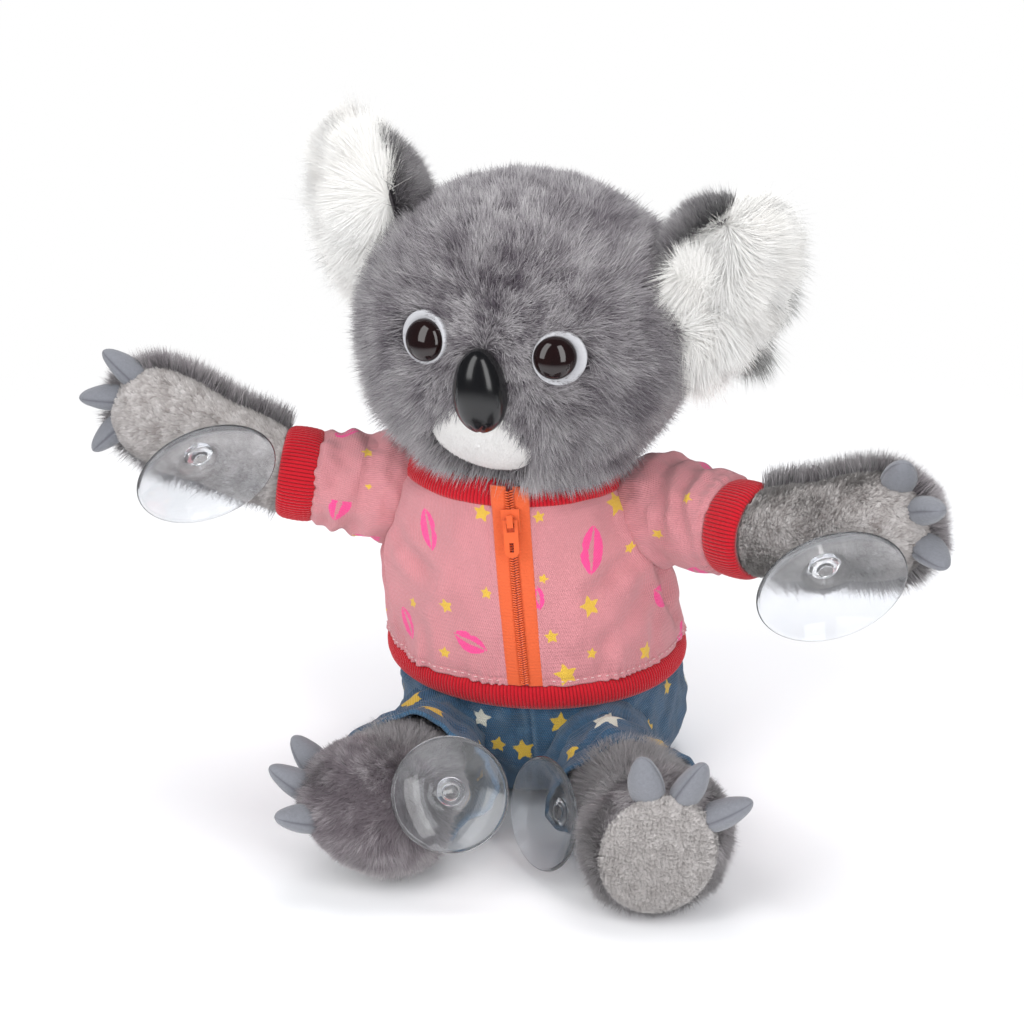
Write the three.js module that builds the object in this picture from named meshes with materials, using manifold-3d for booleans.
// Plush koala in a zipped jacket and shorts, with a suction cup tied to each paw.
// Millimetres, +Z up. The koala sits and faces -Y, so its own left side is +X.
// The origin is the middle of the footprint, on the surface that the toy sits on.
import * as THREE from 'three';
import { mergeVertices } from 'three/addons/utils/BufferGeometryUtils.js';
import Module from 'manifold-3d';

const wasm = await Module();
wasm.setup();

// Fits shared by every piece
const fit_gap = 0.3;          // between pieces that touch
const swing_gap = 0.45;       // between a limb and the pocket that it swings in
const flat_depth = 0.5;       // how deep a soft piece is flattened where it rests
const cut_overrun = 60;       // how far a cutting block reaches past what it cuts
const cloth = 2.0;            // woven cloth with its turned seams
const rib_cloth = 2.6;        // doubled rib knit
const felt = 1.2;             // eye rings
const pile_skin = 1.1;        // sewn-on short pile patches

// Trunk, as the jacket's outer face: a barrel that narrows to the neck
const trunk_half_width = 54;
const trunk_half_depth = 51;
const trunk_widest_height = 52;
const trunk_profile_radius = 190;
const trunk_height = 124;
const trunk_lean = 12.3;      // the neck lies this far to the koala's right of the seat
const seat_shift = 10;        // the seat's middle, towards the koala's left
const seat_edge_radius = 20;
const neck_edge_radius = 10;

// Jacket
const hem_bottom = 42;
const hem_height = 8.6;
const hem_pull_in = 0.8;      // the rib draws the hem in
const collar_drop = 8.5;      // collar's lower edge below the trunk's top
const collar_height = 9.2;
const zip_turn = 7;           // degrees that the jacket sits turned towards the koala's left
const zip_tape_width = 4.6;
const zip_tape_thickness = 1.0;
const zip_chain_width = 3.2;
const zip_chain_height = 2.6;
const slider_width = 6.6;
const slider_length = 8.4;
const slider_thickness = 1.5;
const slider_from_top = 5;    // from the collar's lower edge down to the slider's middle
const bridge_width = 2.2;
const bridge_wall = 0.9;
const bridge_tunnel_length = 2.6;
const bridge_tunnel_height = 2.1;
const pull_width = 5.2;
const pull_length = 13.5;
const pull_thickness = 1.1;
const pull_bar = 1.2;
const pull_window_length = 3.2;
const pull_slot_length = 3.4;
const pull_slot_width = 1.5;

// Shorts
const shorts_top = 50;
const shorts_half_depth = 51; // seat of the shorts, fuller than the jacket's hem
const shorts_leg_flare = 6;
const shorts_fold_depth = 1.3; // the hem's gathers, each side of the middle of the cloth
const shorts_folds = 4;

// Head
const head_half_width = 57;
const head_half_depth = 52;
const head_half_height = 53;
const head_across = 3;        // head's middle, towards the koala's left
const head_forward = 8;
const head_above_neck = 49;   // head's middle above the trunk's top
const head_yaw = -4;          // degrees, towards the koala's right
const head_roll = 3;          // degrees, crown towards the koala's left
const neck_across = -2;
const neck_forward = 4;
const eye_diameter = 15.5;
const eye_dome_height = 6.6;
const eye_ring_diameter = 21.5;
const eye_yaw = 26;           // degrees to each side of the nose
const eye_pitch = 7;          // degrees above the middle of the face
const shank_diameter = 5;
const shank_length = 12;
const washer_diameter = 14;
const washer_thickness = 1.6;
const nose_half_width = 9.6;
const nose_half_height = 15.6;
const nose_half_depth = 8.4;
const nose_pitch = -6;        // degrees, below the middle of the face
const nose_depth_share = 0.30; // share of its half depth that is sunk in the face
const muzzle_half_width = 17;
const muzzle_half_height = 14;
const muzzle_drop = 30;       // patch middle below the head's middle

// Ears: a grey back and a white fluffy front each
const ear_half_height = 33;
const ear_half_width = 25;
const ear_half_thickness = 13;
const ear_back_share = 0.42;  // share of the thickness that is the grey back
const ear_behind = 8;         // ear middle behind the head's middle
const left_ear_out = 68.5;    // and to its side
const left_ear_up = 21;       // and above it
const right_ear_out = 64.5;
const right_ear_up = 33.5;
const ear_turn = 52;          // degrees that the ear's front is turned outwards
const ear_droop = -12;        // and below level

// Arms: the sleeve's round head turns in a pocket at the shoulder
const shoulder_half_span = 52.3;
const shoulder_shift = 0.7;   // both shoulders, towards the koala's left
const shoulder_drop = 19;     // shoulders below the trunk's top
const shoulder_forward = 5;
const shoulder_ball_radius = 20.5;
const sleeve_radius = 19;
const sleeve_end_radius = 17.4;
const left_sleeve_length = 31; // from the pivot to the cuff
const right_sleeve_length = 25;
const cuff_width = 13.5;
const cuff_pull_in = 0.8;
const wrist_radius = 14.4;
const forearm_radius = 15.6;
const palm_radius = 17.5;
const palm_flatness_share = 0.88; // palm thickness as a share of its width
const hand_length = 50;       // from the cuff's outer end to the middle of the palm
const forearm_shares = [0.3, 0.55, 0.85]; // of the hand's length: forearm full, still full, palm full
const claw_seat_share = 0.9;  // claw root from the palm's middle, share of the palm's radius

// Legs
const hip_half_span = 29;
const hip_shift = 8;         // both hips, towards the koala's left
const hip_forward = 40;
const hip_height = 21.2;
const hip_ball_radius = 20.4;
const shorts_leg_radius = 17.6;
const shorts_leg_length = 33; // from the pivot to the leg's hem
const ankle_radius = 17;
const left_leg_length = 73;   // from the pivot to the middle of the foot
const right_leg_length = 62;  // the right knee is drawn up
const foot_half_length = 26.5;
const foot_half_width = 24;
const foot_half_height = 24;
const sole_share = 0.5;       // sole plane from the foot's middle, share of its half height
const toe_reach_share = 0.8;  // claw root from the foot's middle, share of its half length
const toe_lift_share = 0.36;  // and towards the sole, share of its half height
const sole_crown = 4.5;

// How far the stuffed limbs give, in degrees
const arm_raise_angle = 20;
const arm_drop_angle = 30;
const leg_spread_angle = 22;
const leg_close_angle = 8;
const head_twist_angle = 25;
const cup_tilt_angle = 8;
const pull_swing_angle = 150; // the zip's pull, from hanging up past level

// Claws, smooth stuffed cloth
const claw_length = 17;       // outside the paw
const claw_half_width = 6.2;
const claw_half_thickness = 5;
const claw_tip_radius = 3.6;
const claw_taper_share = 0.17; // of its whole taper, reached half way along

// Suction cups
const hand_cup_diameter = 52;
const foot_cup_diameter = 40;
const cup_wall = 1.6;
const cup_hollow_share = 0.12; // depth of the hollow as a share of the diameter
const cup_rim_width = 2.4;
const cup_knob_diameter = 9;
const cup_knob_height = 3.8;
const cup_neck_diameter = 5;
const cup_neck_height = 2;
const tie_diameter = 1.8;
const hand_tie_length = 10;
const foot_tie_length = 6;

// Facets: how many sides the round things have
const round_steps = 26;
const limb_steps = 16;
const gather_steps = 20;
const stem_steps = 14;
const small_steps = 8;
const cup_steps = 18;
const pocket_steps = 14;
const rod_steps = 8;
const trunk_rows = 6;
const arc_rows = 4;
const root_rows = 6;
const tip_rows = 3;
const claw_tip_rows = 2;
const bowl_rows = 3;
const lens_rows = 5;

// Colours and finishes
const finishes = {
  grey_fur: { color: 0x7d7a7d, roughness: 0.95 },
  dark_fur: { color: 0x6a666a, roughness: 0.95 },
  white_fur: { color: 0xebebe8, roughness: 0.95 },
  pale_pile: { color: 0xa59e99, roughness: 0.92 },
  claw_cloth: { color: 0x878a91, roughness: 0.8 },
  pink_cloth: { color: 0xde969b, roughness: 0.9 },
  red_rib: { color: 0xc8141e, roughness: 0.9 },
  denim: { color: 0x3f6482, roughness: 0.9 },
  orange_tape: { color: 0xeb692d, roughness: 0.75 },
  orange_metal: { color: 0xe25f24, roughness: 0.4 },
  black_plastic: { color: 0x0b0a0c, roughness: 0.12 },
  white_felt: { color: 0xcdcdd0, roughness: 0.9 },
  white_plastic: { color: 0xe6e6e2, roughness: 0.5 },
  clear_vinyl: { color: 0xdfe3e4, roughness: 0.15 },
  white_thread: { color: 0xf0f0ee, roughness: 0.8 },
};

const materials = {};
for (const [name, look] of Object.entries(finishes)) {
  materials[name] = new THREE.MeshStandardMaterial({ name, metalness: 0, ...look });
}

const koala = new THREE.Group();
const joints = {};            // pivot, axis and limits in degrees of each hinge
const sides = [
  { name: 'left', sign: 1 },
  { name: 'right', sign: -1 },
];

// Solids and geometries
function toSolid(geometry) {
  const bare = geometry.clone();
  for (const name of Object.keys(bare.attributes)) {
    if (name !== 'position') bare.deleteAttribute(name);
  }
  const whole = mergeVertices(bare, 1e-4);
  return new wasm.Manifold(new wasm.Mesh({
    numProp: 3,
    vertProperties: new Float32Array(whole.attributes.position.array),
    triVerts: new Uint32Array(whole.index.array),
  }));
}

function toGeometry(solid) {
  const { numProp, vertProperties, triVerts } = solid.getMesh();
  const geometry = new THREE.BufferGeometry();
  const data = new THREE.InterleavedBuffer(vertProperties, numProp);
  const position = new THREE.Float32BufferAttribute(data.count * 3, 3);
  for (let i = 0; i < data.count; i += 1) {
    const at = i * numProp;
    position.setXYZ(i, vertProperties[at], vertProperties[at + 1], vertProperties[at + 2]);
  }
  geometry.setAttribute('position', position);
  geometry.setIndex([...triVerts]);
  geometry.computeVertexNormals();
  return geometry;
}

function place(solid, matrix) {
  return solid.transform(matrix.elements);
}

function add(name, solid, material) {
  const mesh = new THREE.Mesh(toGeometry(solid), materials[material]);
  mesh.name = name;
  koala.add(mesh);
  return mesh;
}

const degrees = THREE.MathUtils.degToRad;
const up = new THREE.Vector3(0, 0, 1);

// Turned solid about +Z from a list of [radius, height]
function turned(profile, steps) {
  const points = profile.map(([radius, height]) => new THREE.Vector2(Math.max(radius, 0), height));
  const geometry = new THREE.LatheGeometry(points, steps);
  geometry.rotateX(Math.PI / 2);
  const solid = toSolid(geometry);
  return solid.volume() < 0 ? toSolid(turnedInsideOut(geometry)) : solid;
}

function turnedInsideOut(geometry) {
  const flipped = geometry.clone();
  const index = [...flipped.index.array];
  for (let i = 0; i < index.length; i += 3) {
    [index[i + 1], index[i + 2]] = [index[i + 2], index[i + 1]];
  }
  flipped.setIndex(index);
  return flipped;
}

function ball(halfX, halfY, halfZ, steps) {
  const geometry = new THREE.SphereGeometry(1, steps, Math.round(steps / 2));
  geometry.rotateX(Math.PI / 2);
  geometry.scale(halfX, halfY, halfZ);
  return toSolid(geometry);
}

function block(sizeX, sizeY, sizeZ, x = 0, y = 0, z = 0) {
  const geometry = new THREE.BoxGeometry(sizeX, sizeY, sizeZ);
  geometry.translate(x, y, z);
  return toSolid(geometry);
}

// Values at even steps of a share from 0 to 1, both ends included
function evenly(steps, value) {
  return Array.from({ length: steps + 1 }, (_, i) => value(i / steps));
}

// Matrix that puts +Z along a direction, with +X as level as it can be, at a place
function aimed(direction, origin) {
  const z = direction.clone().normalize();
  const x = new THREE.Vector3().crossVectors(up, z);
  if (x.lengthSq() < 1e-6) x.set(1, 0, 0);
  x.normalize();
  const y = new THREE.Vector3().crossVectors(z, x);
  return new THREE.Matrix4().makeBasis(x, y, z).setPosition(origin);
}

// Direction from a turn about +Z (0 is -Y, positive towards +X) and a rise above level
function heading(turn, rise) {
  const a = degrees(turn);
  const b = degrees(rise);
  return new THREE.Vector3(Math.sin(a) * Math.cos(b), -Math.cos(a) * Math.cos(b), Math.sin(b));
}

function turnedAbout(point, axis, angle) {
  const there = new THREE.Matrix4().makeTranslation(point);
  const back = new THREE.Matrix4().makeTranslation(point.clone().negate());
  return there.multiply(new THREE.Matrix4().makeRotationAxis(axis, angle)).multiply(back);
}

// Trunk: round shells about one axis, then widened and leaned as one
const trunk_frame = new THREE.Matrix4().set(
  trunk_half_width / trunk_half_depth, 0, -trunk_lean / trunk_height, seat_shift,
  0, 1, 0, 0,
  0, 0, 1, 0,
  0, 0, 0, 1,
);

function trunkRadius(height, inset) {
  const reach = trunk_profile_radius - inset;
  const rise = height - trunk_widest_height;
  return trunk_half_depth - trunk_profile_radius + Math.sqrt(reach * reach - rise * rise);
}

function trunkSide(from, to, inset, rows) {
  return evenly(rows, (share) => {
    const height = from + (to - from) * share;
    return [trunkRadius(height, inset), height];
  });
}

function trunkShell(from, to, outer, inner, rows) {
  const outside = trunkSide(from, to, outer, rows);
  return turned([...outside, ...trunkSide(to, from, inner, rows), outside[0]], round_steps);
}

const collar_bottom = trunk_height - collar_drop;
const chest_inset = rib_cloth + fit_gap;
const hem_inner = hem_pull_in + rib_cloth;
const waist_outer = hem_inner + fit_gap;
const waist_inner = waist_outer + cloth;
const core_waist = waist_inner + fit_gap;
const core_seat = cloth + fit_gap;
const jacket_bottom = hem_bottom + hem_height + fit_gap;
const jacket_top = collar_bottom - fit_gap;

// Seat from the axis out and up to the waist, at an inset from the shorts' outer face
function seatProfile(inset, waist, top) {
  const corner = seat_edge_radius - inset;
  const wall = shorts_half_depth - inset;
  const arc = evenly(arc_rows, (share) => {
    const angle = (Math.PI / 2) * share;
    return [wall - corner + corner * Math.sin(angle), seat_edge_radius - corner * Math.cos(angle)];
  });
  const shoulder = hem_bottom - fit_gap - cloth - inset / 2;
  return [[0, inset], ...arc, [wall, shoulder - cloth], [trunkRadius(shoulder, waist), shoulder],
    [trunkRadius(top, waist), top]];
}

function trunkCore() {
  const seat = seatProfile(core_seat, core_waist, shorts_top + fit_gap);
  const top = trunk_height - neck_edge_radius;
  const chest = trunkSide(jacket_bottom + 2 * fit_gap, top, chest_inset, trunk_rows);
  const neck = evenly(arc_rows, (share) => {
    const angle = (Math.PI / 2) * share;
    const z = top + neck_edge_radius * Math.sin(angle);
    return [trunkRadius(z, chest_inset) - neck_edge_radius * (1 - Math.cos(angle)), z];
  });
  return turned([...seat, ...chest, ...neck.slice(1), [0, trunk_height]], round_steps);
}

function shortsSeat() {
  const outside = seatProfile(0, waist_outer, shorts_top);
  const inside = seatProfile(cloth, waist_inner, shorts_top).reverse();
  return turned([...outside, ...inside], round_steps);
}

const zip_frame = new THREE.Matrix4().makeRotationZ(degrees(zip_turn));

// A strip of a trunk shell, straight up the jacket's front
function frontStrip(shell, fromX, toX) {
  const slab = block(toX - fromX, cut_overrun, 2 * trunk_height, (fromX + toX) / 2,
    -cut_overrun / 2, trunk_height / 2);
  return shell.intersect(place(slab, zip_frame));
}

function jacketPanels() {
  const shell = trunkShell(jacket_bottom, jacket_top, 0, cloth, trunk_rows);
  const half_chain = zip_chain_width / 2 + fit_gap;
  const reach = 2 * trunk_half_width;
  const behind = place(block(reach, reach, 2 * trunk_height, 0, (reach + fit_gap) / 2,
    trunk_height / 2), zip_frame);
  const front = (sign) => place(block(reach, reach, 2 * trunk_height,
    sign * (reach / 2 + half_chain), -(reach + fit_gap) / 2, trunk_height / 2), zip_frame);
  return {
    jacket_back: shell.intersect(behind),
    jacket_front_left: shell.intersect(front(1)),
    jacket_front_right: shell.intersect(front(-1)),
  };
}

// Zip: two tapes and the closed chain of teeth between them
const tape_base = -fit_gap;
const tape_face = tape_base - zip_tape_thickness;
const chain_face = tape_face - (zip_chain_height - zip_tape_thickness) / 2;
const chain_back = chain_face + zip_chain_height;

function zipPieces() {
  const tape = trunkShell(jacket_bottom, jacket_top, tape_face, tape_base, trunk_rows);
  const chain = trunkShell(jacket_bottom, jacket_top, chain_face, chain_back, trunk_rows);
  const half_chain = zip_chain_width / 2;
  const near = half_chain + fit_gap;
  return {
    zip_tape_left: frontStrip(tape, near, near + zip_tape_width),
    zip_tape_right: frontStrip(tape, -near - zip_tape_width, -near),
    zip_coil: frontStrip(chain, -half_chain, half_chain),
  };
}

// The slider's frame on the zip: +X across, +Y inwards, +Z up the zip
const slider_height = collar_bottom - slider_from_top;
const profile_centre = new THREE.Vector3(0, trunk_profile_radius - trunk_half_depth,
  trunk_widest_height).applyMatrix4(zip_frame);

function zipPlace(height) {
  const out = new THREE.Vector3(0, -trunkRadius(height, 0), height).applyMatrix4(zip_frame);
  const on_zip = out.clone().applyMatrix4(trunk_frame);
  const centre = profile_centre.clone().applyMatrix4(trunk_frame);
  const ahead = new THREE.Vector3(0, -trunkRadius(height + fit_gap, 0), height + fit_gap)
    .applyMatrix4(zip_frame).applyMatrix4(trunk_frame);
  const along = ahead.sub(on_zip).normalize();
  const across = new THREE.Vector3().crossVectors(centre.sub(on_zip), along).normalize();
  const inwards = new THREE.Vector3().crossVectors(along, across);
  return new THREE.Matrix4().makeBasis(across, inwards, along).setPosition(on_zip);
}

function sliderPieces() {
  const base = chain_face - fit_gap;          // lowest outward offset of the slider's plate
  const face = base - slider_thickness;
  const skirt = tape_face - fit_gap;
  const plate = block(slider_width, skirt - face, slider_length, 0, (face + skirt) / 2, 0);
  const channel = block(zip_chain_width + 2 * fit_gap, skirt - base + fit_gap,
    slider_length + 2 * fit_gap, 0, (skirt + base + fit_gap) / 2, 0);
  const bridge_length = bridge_tunnel_length + 2 * bridge_wall;
  const bridge_height = bridge_tunnel_height + bridge_wall;
  const sunk = bridge_wall / 2;
  const arch = block(bridge_width, bridge_height + sunk, bridge_length, 0,
    face - (bridge_height - sunk) / 2, 0);
  const tunnel = block(2 * bridge_width, bridge_tunnel_height, bridge_tunnel_length, 0,
    face - bridge_tunnel_height / 2, 0);
  const slider = plate.subtract(channel).add(arch.subtract(tunnel));
  const bar_at = face - bridge_tunnel_height / 2;
  const half = pull_width / 2;
  const top = pull_bar / 2;
  const low = top - pull_length + half;
  const at = (x, y) => new THREE.Vector2(x, y);
  const hole = (half_width, from, to) => new THREE.Path([at(half_width, from), at(half_width, to),
    at(-half_width, to), at(-half_width, from)]);
  const round_end = evenly(2 * arc_rows, (share) => {
    const angle = Math.PI * (1 + share);
    return at(half * Math.cos(angle), low + half * Math.sin(angle));
  });
  const outline = new THREE.Shape([at(-half, top), ...round_end, at(half, top)]);
  outline.holes.push(
    hole(bridge_width / 2 + fit_gap, -top - pull_window_length, -top),
    hole(pull_slot_width / 2, low - half / 4, low - half / 4 + pull_slot_length),
  );
  const geometry = new THREE.ExtrudeGeometry(outline,
    { depth: pull_thickness, bevelEnabled: false });
  geometry.rotateX(Math.PI / 2);
  geometry.translate(0, bar_at + pull_thickness / 2, 0);
  const matrix = zipPlace(slider_height);
  joints.zip_pull = { pivot: new THREE.Vector3(0, bar_at, 0).applyMatrix4(matrix),
    axis: new THREE.Vector3(-1, 0, 0).transformDirection(matrix), limits: [0, pull_swing_angle] };
  return { zip_slider: place(slider, matrix), zip_pull: place(toSolid(geometry), matrix) };
}

// The slider follows the zip's curve: a hinge at the middle of the circle through three places
function zipTravel() {
  const bottom = jacket_bottom + slider_length;
  const stops = [slider_height, (slider_height + bottom) / 2, bottom];
  const [top, half_way, low] = stops.map((z) => new THREE.Vector3()
    .setFromMatrixPosition(zipPlace(z)));
  const a = top.clone().sub(low);
  const b = half_way.clone().sub(low);
  const normal = new THREE.Vector3().crossVectors(a, b);
  const centre = new THREE.Vector3()
    .crossVectors(b.clone().multiplyScalar(a.lengthSq()).addScaledVector(a, -b.lengthSq()), normal)
    .divideScalar(2 * normal.lengthSq()).add(low);
  const angle = top.clone().sub(centre).angleTo(low.clone().sub(centre));
  joints.zip_slider = { pivot: centre, axis: normal.normalize(),
    limits: [0, THREE.MathUtils.radToDeg(angle)] };
}

// Limb frames
// Headings of the limbs in degrees: turn from straight ahead towards +X, rise above level
const arms = {
  left: {
    sleeve: left_sleeve_length, turn: 60, rise: 3, hand_turn: 65, hand_rise: 18,
    seat_tilt: 12, seat_spread_angle: 42, claw_tilt: 12, claw_spread_angle: 34, claws_forward_angle: 32,
    cup_share: 0.5, tie_turn: 6, tie_rise: 0, face_turn: 23, face_rise: -22,
  },
  right: {
    sleeve: right_sleeve_length, turn: -82, rise: 8, hand_turn: -89, hand_rise: 22,
    seat_tilt: 0, seat_spread_angle: 36, claw_tilt: -19, claw_spread_angle: 42, claws_forward_angle: 5,
    cup_share: 0.55, tie_turn: 0, tie_rise: 14, face_turn: 36, face_rise: -28,
  },
};
const legs = {
  left: {
    length: left_leg_length, turn: 25, shorts_turn: 25, shorts_rise: 5,
    sole_turn: 14, sole_rise: 4, toe_roll: 24, claw_spread_angle: 34, claws_out_angle: 26,
    cup_share: 0.72, tie_turn: -96, tie_rise: -8, face_turn: -45, face_rise: 12,
  },
  right: {
    length: right_leg_length, turn: -10, shorts_turn: -3, shorts_rise: 5,
    sole_turn: -99, sole_rise: -51, toe_roll: 22, claw_spread_angle: 34, claws_out_angle: 4,
    cup_share: 1, tie_turn: 84, tie_rise: 20, face_turn: 12, face_rise: 22,
  },
};

// Round end of a limb about its pivot, as [radius, distance from the pivot]
function ballRoot(ball_radius, first_radius) {
  const opening = Math.asin(first_radius / ball_radius);
  return evenly(root_rows, (share) => {
    const angle = Math.PI - (Math.PI - opening) * share;
    return [share === 0 ? 0 : ball_radius * Math.sin(angle), ball_radius * Math.cos(angle)];
  });
}

function domeTip(radius, reach, rows) {
  return evenly(rows, (share) => {
    const angle = (Math.PI / 2) * share;
    return [share === 1 ? 0 : radius * Math.cos(angle), reach + radius * Math.sin(angle)];
  }).slice(1);
}

// Room that a limb sweeps about a hinge: its ball, its two end places and the fan between
function sweptRoom(ball_radius, narrow, wide, reach, direction, hinge) {
  const { pivot, axis, limits } = hinge;
  const [low, high] = limits.map(degrees);
  const clear = (radius) => (radius + swing_gap) / Math.cos(Math.PI / pocket_steps) ** 2;
  const [near, far] = [narrow, wide].map((radius) => radius + 2 * swing_gap);
  const wheel = place(turned([[0, -near], [reach, -far], [reach, far], [0, near]], limb_steps),
    aimed(axis, pivot));
  const edge = (angle) => new THREE.Vector3().crossVectors(axis,
    direction.clone().applyAxisAngle(axis, angle));
  const after = edge(low);
  const before = edge(high).negate();
  const fan = wheel.trimByPlane(after.toArray(), after.dot(pivot))
    .trimByPlane(before.toArray(), before.dot(pivot));
  const cone = place(turned([[0, 0], [clear(narrow), 0], [clear(wide), reach], [0, reach]],
    pocket_steps), aimed(direction, pivot));
  const socket = clear(ball_radius);
  return place(ball(socket, socket, socket, pocket_steps), aimed(direction, pivot))
    .add(fan).add(place(cone, turnedAbout(pivot, axis, low)))
    .add(place(cone, turnedAbout(pivot, axis, high)));
}

function claw(seat, direction, paw) {
  const shank = claw_length - claw_tip_radius;
  const root = claw_half_width;
  const half_way = root + (claw_tip_radius - root) * claw_taper_share;
  const profile = [[0, -root], [root, -root], [root, 0], [half_way, shank / 2],
    [claw_tip_radius, shank], ...domeTip(claw_tip_radius, shank, claw_tip_rows)];
  const flat = new THREE.Matrix4().makeScale(1, claw_half_thickness / claw_half_width, 1);
  return place(turned(profile, small_steps), aimed(direction, seat).multiply(flat)).subtract(paw);
}

// Suction cup with its mouth facing +Z, its rim at the origin's level
function cupHeight(diameter) {
  return diameter * cup_hollow_share + cup_wall + cup_neck_height + cup_knob_height;
}

function cup(diameter) {
  const radius = diameter / 2;
  const hollow = diameter * cup_hollow_share;
  const mouth = radius - cup_rim_width;
  const knob = cup_knob_diameter / 2;
  const neck = cup_neck_diameter / 2;
  const back = hollow + cup_wall;
  const bowl = (edge, depth, from) => evenly(bowl_rows, (share) => {
    const r = from + (edge - from) * share;
    return [r, -depth * (1 - (r / edge) ** 2)];
  });
  const top = -cupHeight(diameter);
  const chamfer = cup_knob_height / 4;
  return turned([[0, top], [knob - chamfer, top], [knob, top + chamfer],
    [knob, top + cup_knob_height - chamfer], [neck, top + cup_knob_height],
    ...bowl(radius, back, neck).map(([r, z]) => [r, Math.min(z, -cup_wall / 2)]),
    [radius, 0], [mouth, 0], ...bowl(mouth, hollow, 0).reverse().slice(1)], cup_steps);
}

// Cup and thread tie: the tie leaves the limb at a root, the cup's back stands at its far end
function tiedCup(name, diameter, root, out, tie_length, face, limb) {
  const back = root.clone().addScaledVector(out, tie_length);
  const centre = back.clone().addScaledVector(face, cupHeight(diameter) + fit_gap);
  add(name + '_cup', place(cup(diameter), aimed(face, centre)), 'clear_vinyl');
  const inside = root.clone().addScaledVector(out, -tie_length);
  const span = back.distanceTo(inside);
  const far = span + tie_diameter;
  const thread = turned([[0, 0], [tie_diameter / 2, 0], [tie_diameter / 2, far], [0, far]],
    small_steps);
  add(name + '_cup_tie', place(thread, aimed(out, inside)).subtract(limb)
    .trimByPlane(face.clone().negate().toArray(), -face.dot(back)), 'white_thread');
  joints[name + '_cup_tilt'] = { pivot: root, limits: [-cup_tilt_angle, cup_tilt_angle],
    axis: new THREE.Vector3().crossVectors(up, face).normalize() };
}

// Where a ray from inside a solid leaves it
function surfaceAlong(from, direction, reach, solid) {
  const rod = turned([[0, 0], [fit_gap, 0], [fit_gap, reach], [0, reach]], rod_steps);
  const box = place(rod, aimed(direction, from)).intersect(solid);
  const inward = aimed(direction, from).invert();
  return from.clone().addScaledVector(direction, place(box, inward).boundingBox().max[2]);
}

// Arms
function upperArm(length, grow) {
  const inset = cloth + fit_gap - grow;
  const bend = length + cuff_width;
  return turned([...ballRoot(shoulder_ball_radius - inset, sleeve_radius - inset),
    [sleeve_end_radius - inset, length - wrist_radius / 2],
    [wrist_radius + grow, length], [wrist_radius + grow, bend],
    ...domeTip(wrist_radius + grow, bend, tip_rows)], limb_steps);
}

function handSolid(grow) {
  const wrist = wrist_radius + grow;
  const root = domeTip(wrist, 0, tip_rows).map(([r, z]) => [r, -z]).reverse();
  const [swell, waist, full] = forearm_shares.map((share) => share * hand_length);
  return turned([...root, [wrist, 0], [forearm_radius + grow, swell],
    [forearm_radius + grow, waist], [palm_radius + grow, full], [palm_radius + grow, hand_length],
    ...domeTip(palm_radius + grow, hand_length, arc_rows)], limb_steps);
}

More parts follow.
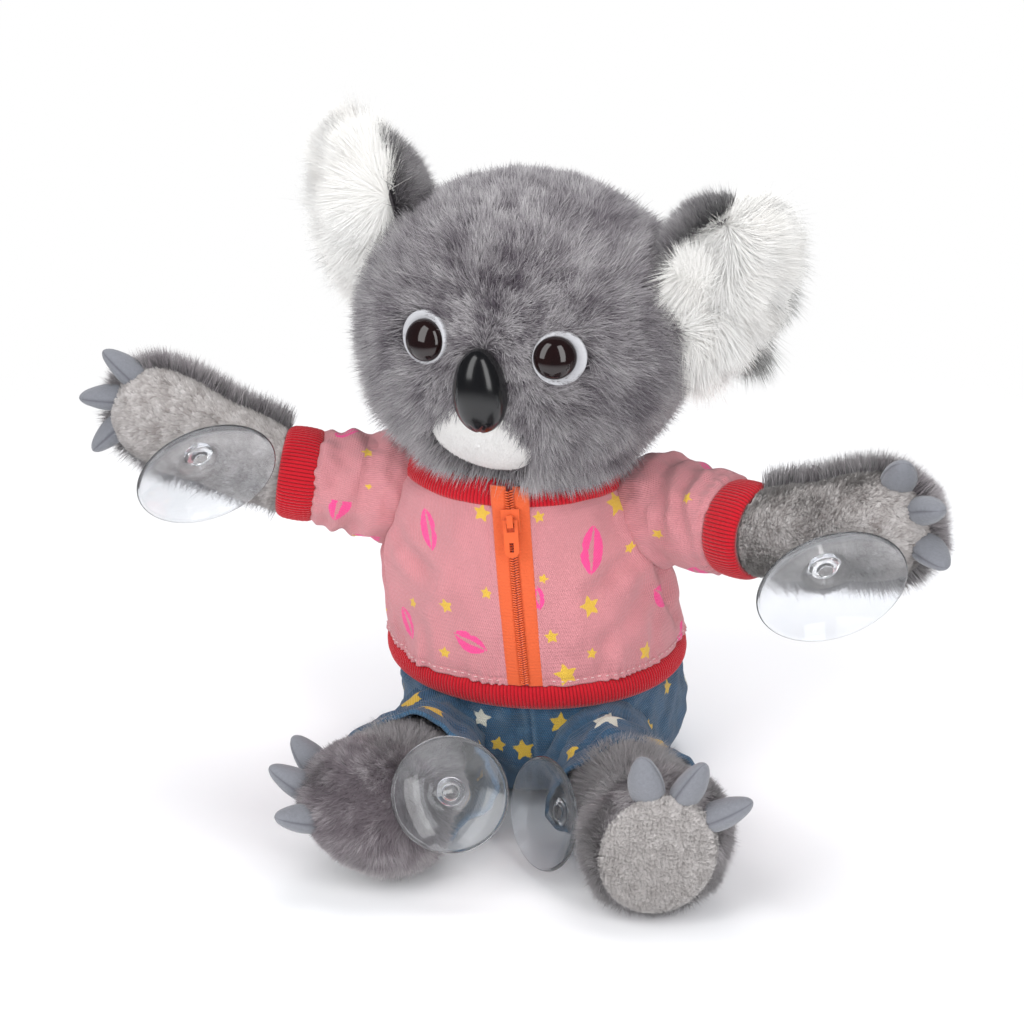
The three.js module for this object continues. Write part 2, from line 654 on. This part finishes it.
function buildArm(side) {
  const pose = arms[side.name];
  const pivot = new THREE.Vector3(side.sign * shoulder_half_span + shoulder_shift,
    -shoulder_forward, trunk_height - shoulder_drop);
  const along = heading(pose.turn, pose.rise);
  const hand = heading(pose.hand_turn, pose.hand_rise);
  const reach = pose.sleeve + cuff_width;
  const bend = pivot.clone().addScaledVector(along, reach);
  const palm = bend.clone().addScaledVector(hand, hand_length);
  const front = new THREE.Vector3().crossVectors(palm.clone().sub(pivot), up)
    .multiplyScalar(side.sign).normalize();
  const sleeve_frame = aimed(along, pivot);
  const flat = new THREE.Matrix4().makeScale(palm_flatness_share, 1, 1);
  const arm = (grow) => place(upperArm(pose.sleeve, grow), sleeve_frame)
    .add(place(handSolid(grow), aimed(hand, bend).multiply(flat)));
  const core = arm(0);
  const room = arm(fit_gap);
  const half = (way) => core.trimByPlane(front.clone().multiplyScalar(way).toArray(),
    way * front.dot(pivot) + fit_gap / 2);
  add(side.name + '_arm_palm', half(1), 'pale_pile');
  add(side.name + '_arm_fur', half(-1), 'dark_fur');

  const sleeve = turned([...ballRoot(shoulder_ball_radius, sleeve_radius),
    [sleeve_end_radius, pose.sleeve - fit_gap], [0, pose.sleeve - fit_gap]], limb_steps)
    .trimByPlane([0, 0, 1], -shoulder_ball_radius / 3);
  add(side.name + '_sleeve', place(sleeve, sleeve_frame).subtract(room), 'pink_cloth');
  const cuff_outer = wrist_radius + fit_gap + rib_cloth;
  const round = rib_cloth / 3;
  const cuff = turned([[0, pose.sleeve], [cuff_outer - round, pose.sleeve],
    [cuff_outer, pose.sleeve + round], [cuff_outer, reach - round],
    [cuff_outer - round, reach], [0, reach]], limb_steps);
  add(side.name + '_cuff', place(cuff, sleeve_frame).subtract(room), 'red_rib');

  const fanned = (tilt, spread, i) => hand.clone()
    .applyAxisAngle(front, side.sign * degrees(tilt + spread * (1 - i)));
  const curl = degrees(pose.claws_forward_angle);
  ['upper', 'middle', 'lower'].forEach((name, i) => {
    const seat = palm.clone().addScaledVector(fanned(pose.seat_tilt, pose.seat_spread_angle, i),
      palm_radius * claw_seat_share);
    const direction = fanned(pose.claw_tilt, pose.claw_spread_angle, i)
      .multiplyScalar(Math.cos(curl)).addScaledVector(front, Math.sin(curl));
    add(`${side.name}_hand_claw_${name}`, claw(seat, direction, room), 'claw_cloth');
  });

  const on_hand = bend.clone().addScaledVector(hand, hand_length * pose.cup_share);
  const out = heading(pose.tie_turn, pose.tie_rise);
  const root = surfaceAlong(on_hand, out, 2 * palm_radius, core);
  tiedCup(side.name + '_hand', hand_cup_diameter, root, out, hand_tie_length,
    heading(pose.face_turn, pose.face_rise), room);
  const hinge = { pivot, axis: new THREE.Vector3().crossVectors(along, up).normalize(),
    limits: [-arm_drop_angle, arm_raise_angle] };
  joints[side.name + '_shoulder'] = hinge;
  return sweptRoom(shoulder_ball_radius, sleeve_radius, sleeve_end_radius, reach, along, hinge);
}

// Legs
function thigh(length, grow) {
  const inset = cloth + fit_gap - grow;
  return turned([...ballRoot(hip_ball_radius - inset, shorts_leg_radius - inset),
    [ankle_radius - cloth + grow, shorts_leg_length], [ankle_radius + grow, length], [0, length]],
  limb_steps);
}

// Leg of the shorts, flaring towards its hem, where the cloth stands in gathers
function shortsLeg() {
  const knee = (hip_ball_radius + shorts_leg_length) / 2;
  const start = hip_ball_radius / 2;
  const flared = (inset, end) => [[shorts_leg_radius + shorts_leg_flare / 2 - inset, knee],
    [shorts_leg_radius + shorts_leg_flare - inset, end], [0, end]];
  const outside = [...ballRoot(hip_ball_radius, shorts_leg_radius), ...flared(0, shorts_leg_length)];
  const inside = [[0, start], [shorts_leg_radius - cloth, start],
    ...flared(cloth, shorts_leg_length + fit_gap)];
  const gathered = (profile) => turned(profile, gather_steps).warp((vertex) => {
    const [x, y, z] = vertex;
    const radius = Math.hypot(x, y);
    if (radius === 0 || z <= 0) return;
    const share = z / shorts_leg_length;
    const wave = shorts_fold_depth * share * Math.cos(shorts_folds * Math.atan2(y, x));
    vertex[0] += (wave * x) / radius;
    vertex[1] += (wave * y) / radius;
  });
  return gathered(outside).subtract(gathered(inside));
}

function buildLeg(side) {
  const pose = legs[side.name];
  const pivot = new THREE.Vector3(side.sign * hip_half_span + hip_shift, -hip_forward, hip_height);
  const sole = heading(pose.sole_turn, pose.sole_rise);
  const sideways = new THREE.Vector3().crossVectors(up, sole).normalize();
  const toe = new THREE.Vector3().crossVectors(sole, sideways)
    .applyAxisAngle(sole, -degrees(pose.toe_roll)).normalize();
  const across = new THREE.Vector3().crossVectors(sole, toe);
  const foot_frame = (at) => new THREE.Matrix4().makeBasis(toe, across, sole).setPosition(at);
  const foot = (grow) => ball(foot_half_length + grow, foot_half_width + grow,
    foot_half_height + grow, limb_steps);
  const low = place(foot(0), foot_frame(new THREE.Vector3())).boundingBox().min[2];
  const middle = pivot.clone().addScaledVector(heading(pose.turn, 0), pose.length)
    .setZ(-low - flat_depth);
  const sole_plane = foot_half_height * sole_share;
  const shank = middle.clone().sub(pivot);
  const crown = new THREE.Matrix4().makeScale(1, 1, sole_crown / (foot_half_height - sole_plane));
  const below = new THREE.Matrix4().makeTranslation(0, 0, -sole_plane);
  const pad = (grow) => place(foot(grow).trimByPlane([0, 0, 1], sole_plane - grow),
    foot_frame(middle.clone().addScaledVector(sole, sole_plane + fit_gap)).multiply(crown)
      .multiply(below));
  const beyondSole = (grow) => {
    const radius = foot_half_length + foot_half_width - grow;
    return place(ball(radius, radius, radius, limb_steps)
      .trimByPlane([0, 0, 1], sole_plane + grow), foot_frame(middle));
  };
  const leg = (grow) => place(thigh(shank.length(), grow), aimed(shank, pivot))
    .subtract(beyondSole(grow))
    .add(place(foot(grow).trimByPlane([0, 0, -1], -sole_plane - grow), foot_frame(middle)))
    .trimByPlane([0, 0, 1], 0);
  const core = leg(0);
  const room = leg(fit_gap);
  add(side.name + '_leg', core, 'grey_fur');
  add(side.name + '_sole', pad(0).trimByPlane([0, 0, 1], 0), 'pale_pile');

  const shorts_way = heading(pose.shorts_turn, pose.shorts_rise);
  const shorts_frame = aimed(shorts_way, pivot);
  const leg_cloth = shortsLeg().trimByPlane([0, 0, 1], -hip_ball_radius / 3);
  add(side.name + '_shorts_leg', place(leg_cloth, shorts_frame).subtract(room)
    .trimByPlane([0, 0, 1], 0), 'denim');

  ['outer', 'middle', 'inner'].forEach((name, i) => {
    const fan = degrees(pose.claw_spread_angle * (1 - i));
    const about = toe.clone().applyAxisAngle(sole, -side.sign * fan);
    const seat = middle.clone().addScaledVector(about, foot_half_length * toe_reach_share)
      .addScaledVector(sole, foot_half_height * toe_lift_share);
    const out = degrees(pose.claws_out_angle);
    const direction = about.clone().multiplyScalar(Math.cos(out)).addScaledVector(sole, Math.sin(out));
    add(`${side.name}_foot_claw_${name}`, claw(seat, direction, room.add(pad(2 * fit_gap))),
      'claw_cloth');
  });

  const way = heading(pose.tie_turn, pose.tie_rise);
  const on_leg = pivot.clone().addScaledVector(shank, pose.cup_share);
  const root = surfaceAlong(on_leg, way, 2 * foot_half_length, core);
  tiedCup(side.name + '_foot', foot_cup_diameter, root, way, foot_tie_length,
    heading(pose.face_turn, pose.face_rise), room);
  const outward = [-leg_close_angle, leg_spread_angle];
  const hinge = { pivot, axis: up,
    limits: side.sign > 0 ? outward : outward.map((angle) => -angle).reverse() };
  joints[side.name + '_hip'] = hinge;
  return sweptRoom(hip_ball_radius, shorts_leg_radius,
    shorts_leg_radius + shorts_leg_flare + shorts_fold_depth, shorts_leg_length, shorts_way, hinge);
}

const rooms = sides.flatMap((side) => [buildArm(side), buildLeg(side)]);

// Trunk, jacket body, zip and shorts, cut by the pockets that the limbs swing in
const limb_room = rooms.reduce((sum, room) => sum.add(room));
const onTrunk = (solid) => place(solid, trunk_frame).subtract(limb_room).trimByPlane([0, 0, 1], 0);
add('torso', onTrunk(trunkCore()), 'grey_fur');
add('shorts_seat', onTrunk(shortsSeat()), 'denim');
for (const [name, panel] of Object.entries(jacketPanels())) add(name, onTrunk(panel), 'pink_cloth');
for (const [name, piece] of Object.entries(zipPieces())) add(name, onTrunk(piece), 'orange_tape');
add('hem_rib', onTrunk(trunkShell(hem_bottom, hem_bottom + hem_height, hem_pull_in, hem_inner, 1)),
  'red_rib');
for (const [name, piece] of Object.entries(sliderPieces())) add(name, piece, 'orange_metal');
zipTravel();

// Head
const head_middle = new THREE.Vector3(head_across, -head_forward, trunk_height + head_above_neck);
const head_turn = new THREE.Matrix4().makeRotationZ(degrees(head_yaw))
  .multiply(new THREE.Matrix4().makeRotationY(degrees(head_roll)));
const head_frame = head_turn.clone().setPosition(head_middle);

function headSolid(grow) {
  return place(ball(head_half_width + grow, head_half_depth + grow, head_half_height + grow,
    round_steps), head_frame);
}

const head_room = headSolid(fit_gap);

// The collar stands clear of the head at every turn of the neck
joints.neck = { pivot: new THREE.Vector3(neck_across, -neck_forward, trunk_height), axis: up,
  limits: [-head_twist_angle, head_twist_angle] };
const collar = trunkShell(collar_bottom, collar_bottom + collar_height, 0, rib_cloth, 1);
const head_turns = [...joints.neck.limits, 0].map((angle) => place(head_room,
  turnedAbout(joints.neck.pivot, up, degrees(angle))));
add('collar_rib', head_turns.reduce((rest, room) => rest.subtract(room), onTrunk(collar)), 'red_rib');

// A place on the face and the way out of it, from a turn and a rise in the head's own frame
function onFace(turn, rise) {
  const way = heading(turn, rise);
  const reach = 1 / Math.hypot(way.x / head_half_width, way.y / head_half_depth,
    way.z / head_half_height);
  const at = way.clone().multiplyScalar(reach);
  const out = new THREE.Vector3(at.x / head_half_width ** 2, at.y / head_half_depth ** 2,
    at.z / head_half_height ** 2).normalize();
  return { at: at.applyMatrix4(head_frame), out: out.transformDirection(head_turn) };
}

function rod(radius, from, to) {
  return turned([[0, from], [radius, from], [radius, to], [0, to]], stem_steps);
}

// Stem through the face and the washer that grips it behind, with their bores
function anchor(face_plane) {
  const tail = face_plane - shank_length;
  const stem = rod(shank_diameter / 2, tail, face_plane);
  const grip = tail + washer_thickness;
  const washer = rod(washer_diameter / 2, grip, grip + washer_thickness)
    .subtract(rod(shank_diameter / 2 + fit_gap, tail, face_plane));
  const bore = rod(shank_diameter / 2 + fit_gap, tail - fit_gap, face_plane)
    .add(rod(washer_diameter / 2 + fit_gap, grip - fit_gap, grip + washer_thickness + fit_gap));
  return { stem, washer, bore };
}

let head = headSolid(0).trimByPlane([0, 0, 1], trunk_height + fit_gap);
for (const side of sides) {
  const { at, out } = onFace(side.sign * eye_yaw, eye_pitch);
  const frame = aimed(out, at);
  const ring_radius = eye_ring_diameter / 2;
  const sag = ring_radius ** 2 / (2 * head_half_depth);
  const seat = -sag;
  const { stem, washer, bore } = anchor(seat);
  const eye_base = seat + felt + 2 * fit_gap;
  const eye_radius = eye_diameter / 2;
  const eye_edge = eye_base + felt;
  const lens = evenly(lens_rows, (share) => {
    const angle = (Math.PI / 2) * share;
    const radius = share === 1 ? 0 : eye_radius * Math.cos(angle);
    return [radius, eye_edge + eye_dome_height * Math.sin(angle)];
  });
  const eye = turned([[0, eye_base], [eye_radius, eye_base], ...lens], stem_steps)
    .add(stem).add(rod(shank_diameter / 2, seat, eye_edge));
  const rim = rod(ring_radius, seat + fit_gap, seat + fit_gap + felt)
    .subtract(rod(shank_diameter / 2 + fit_gap, seat, eye_base));
  add('eye_' + side.name, place(eye, frame), 'black_plastic');
  add('eye_rim_' + side.name, place(rim, frame), 'white_felt');
  add('eye_washer_' + side.name, place(washer, frame), 'white_plastic');
  const seat_cut = rod(ring_radius + fit_gap, seat, seat + ring_radius);
  head = head.subtract(place(bore.add(seat_cut), frame));
}

const nose_seat = onFace(0, nose_pitch);
const nose_frame = aimed(nose_seat.out, nose_seat.at);
const nose_sunk = nose_half_depth * nose_depth_share;
const nose_ball = (grow) => place(ball(nose_half_width + grow, nose_half_height + grow,
  nose_half_depth + grow, limb_steps), new THREE.Matrix4().makeTranslation(0, 0, nose_sunk));
const nose_anchor = anchor(0);
add('nose', place(nose_ball(0).add(nose_anchor.stem), nose_frame), 'black_plastic');
add('nose_washer', place(nose_anchor.washer, nose_frame), 'white_plastic');
const nose_room = place(nose_ball(fit_gap).add(nose_anchor.bore), nose_frame);
head = head.subtract(nose_room);

// Ears: where each sits, and in degrees how far its top leans outwards
const ears = {
  left: { out: left_ear_out, up: left_ear_up, lean: 24 },
  right: { out: right_ear_out, up: right_ear_up, lean: -8 },
};

const patch_outline = place(ball(muzzle_half_width, head_half_depth, muzzle_half_height, limb_steps),
  head_frame.clone().multiply(new THREE.Matrix4().makeTranslation(0, -head_half_depth, -muzzle_drop)));
const patch = headSolid(fit_gap + pile_skin).subtract(head_room).intersect(patch_outline)
  .subtract(nose_room);
add('muzzle_patch', patch, 'white_fur');

for (const side of sides) {
  const pose = ears[side.name];
  const centre = new THREE.Vector3(side.sign * pose.out, ear_behind, pose.up).applyMatrix4(head_frame);
  const facing = heading(side.sign * ear_turn, ear_droop);
  const frame = aimed(facing, centre).multiply(new THREE.Matrix4()
    .makeRotationZ(degrees(-side.sign * pose.lean)));
  const ear = ball(ear_half_width, ear_half_height, ear_half_thickness, limb_steps);
  const cut = ear_half_thickness * (2 * ear_back_share - 1);
  add('ear_back_' + side.name, place(ear.trimByPlane([0, 0, -1], -cut + fit_gap / 2), frame)
    .subtract(head_room), 'dark_fur');
  add('ear_front_' + side.name, place(ear.trimByPlane([0, 0, 1], cut + fit_gap / 2), frame)
    .subtract(head_room), 'white_fur');
}
add('head', head, 'grey_fur');

// The origin is put under the middle of the toy's box
const extent = new THREE.Box3().setFromObject(koala);
const middle = extent.getCenter(new THREE.Vector3());
koala.position.set(-middle.x, -middle.y, -extent.min.z);
koala.userData.joints = joints;

export default koala;
